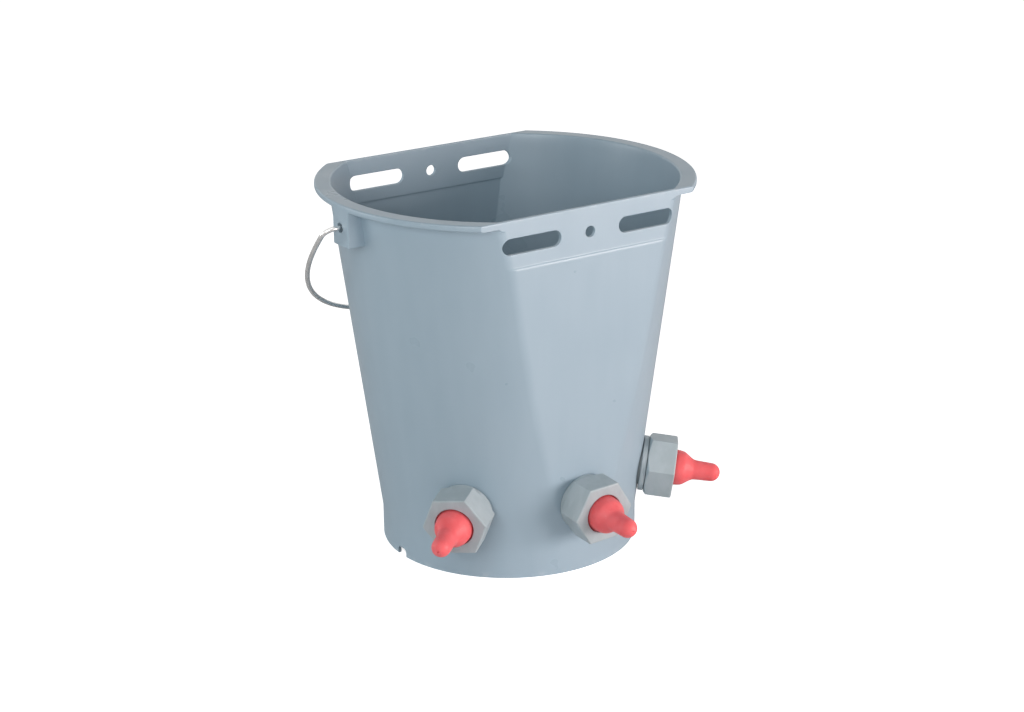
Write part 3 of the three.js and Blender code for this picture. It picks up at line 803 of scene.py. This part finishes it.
nutSizes = dict(apothem=23, corner=1.0, back=5, front=27.9, lip=15.6, lipInside=24.2, bevel=1.25,
                turns={1: 8, 2: 2, 3: -8}, chamfer=30, soften=0.1)


def hexRadius(delta, apothem, corner):
    centre = (apothem - corner) / math.cos(math.pi / 6)
    edge = math.pi / 6 - math.atan((apothem - corner) * math.tan(math.pi / 6) / apothem)
    flat = apothem / np.cos(math.pi / 6 - delta)
    bulge = np.sqrt(np.maximum(corner**2 - (centre * np.sin(delta)) ** 2, 0))
    rounded = centre * np.cos(delta) + bulge
    return np.where(delta < edge, rounded, flat)


def unionNut(number):
    n = nutSizes
    near = [0, 0.3, 0.6, 0.9, 1.2, 1.6, 2.4, 4, 6.5, 9.5, 13, 17, 21, 25.5]
    spread = near + [30] + [60 - d for d in reversed(near[1:])]
    angles = np.radians([60 * k + d for k in range(6) for d in spread])
    delta = np.abs((angles + math.pi / 6) % (math.pi / 3) - math.pi / 6)
    slope = 1 / math.tan(math.radians(n["chamfer"]))
    turn = angles + math.radians(n["turns"][number])
    rings = []

    # A circle, a hexagon, or a hexagon softly limited to a circle.
    def level(z, apothem=None, limit=None):
        if apothem is None:
            radius = np.full(len(angles), float(limit))
        else:
            radius = hexRadius(delta, apothem, n["corner"])
        if apothem is not None and limit is not None:
            soft = n["soften"]
            radius = -soft * np.logaddexp(-radius / soft, -limit / soft)
        x, y = radius * np.cos(turn), radius * np.sin(turn)
        rings.append(np.column_stack([x, y, np.full(len(turn), z)]))

    back, front, bevel = n["back"], n["front"], n["bevel"]
    lip, inside, bore = n["lip"], n["lipInside"], threadSizes["nutBore"]
    for z, r in ((back + 0.5, bore), (back, bore + 0.5), (back, 21.3)):
        level(z, None, r)
    for rise in (0, 0.06, 0.2, 0.45, 0.7, 0.95, 1.2, 1.45, 1.7, 1.9, 2.05, 2.2, 2.4, 2.8):
        level(back + rise, n["apothem"], n["apothem"] - 0.35 + (0.2 if rise else 0) + rise * slope)
    for z in (9, 12, 15, 18, 21, 24, front - bevel - 0.8):
        level(z, n["apothem"])
    for t in np.radians(np.linspace(0, 90, 8)):
        level(front - bevel + bevel * math.sin(t), n["apothem"] - bevel * (1 - math.cos(t)))
    level(front, n["apothem"] - bevel - 0.8)
    level(front, None, 19)
    for r, z in [(17.2, front)] + arc(n["lip"] + 0.6, front - 0.6, 0.6, 90, 180, 5):
        level(z, None, r)
    for z, r in ((inside + 0.3, lip), (inside, lip + 0.3), (inside, 19.35), (inside - 0.3, bore),
                 (14, bore)):
        level(z, None, r)
    nut = skin(f"unionNut{number}", rings, True)
    combine(nut, "UNION", threadRidge("nutThread", 7.75, 18.55, threadSizes["nutBore"], False))
    nut.name = f"unionNut{number}"
    place(shade(nut, 35), valveFrame(number))
    return deliver(nut, valvePaint, f"union_nut_{number}", f"nut_{number}")


teatSizes = dict(flange=19.2, back=20.9, front=23.9, tip=57.7, tipRadius=7.5, hole=0.45, wall=2.8,
                 line=((14.55, 24.6), (14.4, 28), (14.3, 31), (13.5, 34.9), (11.7, 37.8),
                       (9.6, 40.8), (8.3, 43.4), (7.9, 47), (7.7, 52), (7.5, 57.7)),
                 innerLine=((4.7, 57.0), (5.0, 46), (5.4, 42.5), (8.4, 37.5), (10.9, 33),
                            (11.6, 28), (11.7, 24)))


def rubberTeat(number):
    t = teatSizes
    outside = [(t["flange"], t["back"] + 0.4), (t["flange"], t["front"] - 0.4),
               (t["flange"] - 0.4, t["front"]), (15.2, t["front"]), (14.7, t["front"] + 0.25)]
    outside += smoothLine(t["line"], 5)
    ending = math.degrees(math.acos((t["hole"] + 0.3) / t["tipRadius"]))
    outside += arc(0, t["tip"], t["tipRadius"], 0, ending, 14)[1:]
    lift = math.sqrt(t["tipRadius"] ** 2 - t["hole"] ** 2)
    inner = t["tipRadius"] - t["wall"]
    inside = [(t["hole"], t["tip"] + lift - 0.35), (t["hole"], t["tip"] + inner)]
    inside += arc(0, t["tip"], inner, 75, 0, 6)
    inside += smoothLine(t["innerLine"], 4)
    inside += [(11.9, t["back"] + 0.2), (12.2, t["back"]), (t["flange"] - 0.4, t["back"])]
    teat = turned(f"rubberTeat{number}", outside + inside, 72)
    place(shade(teat, 45), valveFrame(number))
    return deliver(teat, teatPaint, f"teat_{number}", f"rubber_teat_{number}")


def valveBall(number):
    v = valveSizes
    centre, r = v["ballClosed"] + v["travel"], v["ball"] - 0.03
    line = [(0, centre - r)]
    for a in np.radians(np.linspace(-86, 86, 41)):
        seam = 0.03 if abs(a) < 0.03 else 0
        line.append(((r - 0.03 + seam) * math.cos(a), centre + (r - 0.03 + seam) * math.sin(a)))
    line.append((0, centre + r))
    ball = turned(f"valveBall{number}", line, 64, False)
    place(shade(ball, 60, False), valveFrame(number))
    return deliver(ball, ballPaint, f"valve_ball_{number}", f"ball_{number}")


def ballRetainer(number):
    v = valveSizes
    back, front = v["retainerBack"], v["retainerBack"] + v["retainer"]
    outer, inner = v["bore"] - 0.3, v["chamber"]
    profile = [(inner, back + 0.3), (inner + 0.3, back), (outer - 0.3, back), (outer, back + 0.3)]
    profile += arc(outer - 0.5, front - 0.5, 0.5, 0, 90, 3)
    profile += arc(inner + 0.5, front - 0.5, 0.5, 90, 180, 3)
    retainer = turned(f"ballRetainer{number}", profile, 72)
    for turn in (0, 90):
        rings = []
        for x in (-inner - 1, 0, inner + 1):
            flat = roundedBox(v["bar"], v["retainer"] - 0.04, 0.5, 0)
            rings.append([(x, a, (back + front) / 2 + b) for a, b in flat])
        bar = skin("retainerBar", rings)
        bar.data.transform(Matrix.Rotation(math.radians(turn), 4, "Z"))
        combine(retainer, "UNION", bar)
    retainer.name = f"ballRetainer{number}"
    place(shade(retainer, 35), valveFrame(number))
    return deliver(retainer, ballPaint, f"ball_retainer_{number}", "pail")


valvePieces = (valveHousing, innerGasket, backingRing, unionNut, rubberTeat, valveBall,
               ballRetainer)
for number in (1, 2, 3):
    for make in valvePieces:
        make(number)
    print("valve", number, "made")


stageSizes = dict(floorTone=0.86, floorGlow=0.85, worldLight=0.2, mirroredLight=0.95)
softboxes = dict(
    keySoftbox=dict(azimuth=32, elevation=4, distance=2.2, width=1.5, height=0.9, power=48,
                    tint=(1, 0.875, 0.84)),
    fillSoftbox=dict(azimuth=-52, elevation=24, distance=2.4, width=1.2, height=1.0, power=19),
    leftSoftbox=dict(azimuth=-122, elevation=8, distance=2.2, width=1.2, height=1.2, power=13),
    topSoftbox=dict(azimuth=-34, elevation=68, distance=2.4, width=0.9, height=0.9, power=3.5))


def studioFloor():
    mesh = bpy.data.meshes.new("studioFloor")
    mesh.from_pydata([(-9, -9, 0), (9, -9, 0), (9, 9, 0), (-9, 9, 0)], [], [(0, 1, 2, 3)])
    floor = bpy.data.objects.new("studioFloor", mesh)
    bpy.context.scene.collection.objects.link(floor)
    tone = stageSizes["floorTone"]
    paint = Paint("floorPaint", (tone, tone, tone), 0.9, 0.0, 0.1)
    glow = paint.add("ShaderNodeLightPath").outputs["Is Camera Ray"]
    paint.shader.inputs["Emission Color"].default_value = (1, 1, 1, 1)
    paint.set("Emission Strength", paint.calc("MULTIPLY", glow, stageSizes["floorGlow"]))
    floor.data.materials.append(paint.material)


# From the object towards a viewer or a light.
def direction(azimuth, elevation):
    a, e = math.radians(azimuth), math.radians(elevation)
    return Vector((math.sin(a) * math.cos(e), -math.cos(a) * math.cos(e), math.sin(e)))


def softbox(name, azimuth, elevation, distance, width, height, power, tint=(1, 1, 1)):
    back = direction(azimuth, elevation)
    data = bpy.data.lights.new(name, "AREA")
    data.shape = "RECTANGLE"
    data.size, data.size_y, data.energy = width, height, power
    data.color = tint
    lamp = bpy.data.objects.new(name, data)
    lamp.location = Vector((0, pailAxisY * mm, 0.15)) + back * distance
    lamp.rotation_mode = "QUATERNION"
    lamp.rotation_quaternion = (-back).to_track_quat("-Z", "Y")
    bpy.context.scene.collection.objects.link(lamp)


def studioWorld():
    world = bpy.data.worlds.new("studioWorld")
    world.use_nodes = True
    tree = world.node_tree
    tree.nodes.clear()
    out, path = tree.nodes.new("ShaderNodeOutputWorld"), tree.nodes.new("ShaderNodeLightPath")
    shader = None
    for strength, tint, rays in ((stageSizes["worldLight"], (0.96, 0.98, 1, 1), None),
                                 (stageSizes["mirroredLight"], (1, 1, 1, 1), "Is Glossy Ray"),
                                 (1.0, (1, 1, 1, 1), "Is Camera Ray")):
        light = tree.nodes.new("ShaderNodeBackground")
        light.inputs["Strength"].default_value, light.inputs["Color"].default_value = strength, tint
        if shader is None:
            shader = light
            continue
        both = tree.nodes.new("ShaderNodeMixShader")
        tree.links.new(path.outputs[rays], both.inputs[0])
        tree.links.new(shader.outputs[0], both.inputs[1])
        tree.links.new(light.outputs[0], both.inputs[2])
        shader = both
    tree.links.new(shader.outputs[0], out.inputs["Surface"])
    bpy.context.scene.world = world


cameraSizes = dict(azimuth=-33.664, elevation=19.279, distance=1787.48, focal=2212.39,
                   aimRight=3.723, aimUp=148.832, roll=-0.595, imageWidth=1024)


def camera():
    c = cameraSizes
    a, r = math.radians(c["azimuth"]), math.radians(c["roll"])
    back = direction(c["azimuth"], c["elevation"])
    right = Vector((math.cos(a), math.sin(a), 0))
    up = back.cross(right)
    across, above = right * math.cos(r) + up * math.sin(r), up * math.cos(r) - right * math.sin(r)
    aim = right * c["aimRight"] + Vector((0, pailAxisY, c["aimUp"]))
    matrix = Matrix((across, above, back)).transposed().to_4x4()
    matrix.translation = (aim + back * c["distance"]) * mm
    data = bpy.data.cameras.new("studioCamera")
    data.sensor_width = 36
    data.lens = c["focal"] * 36 / c["imageWidth"]
    data.clip_start, data.clip_end = 0.05, 50
    made = bpy.data.objects.new("studioCamera", data)
    made.matrix_world = matrix
    bpy.context.scene.collection.objects.link(made)
    bpy.context.scene.camera = made


studioFloor()
for name, values in softboxes.items():
    softbox(name, **values)
studioWorld()
camera()
bpy.context.scene.view_settings.view_transform = "Standard"
print("stage made")
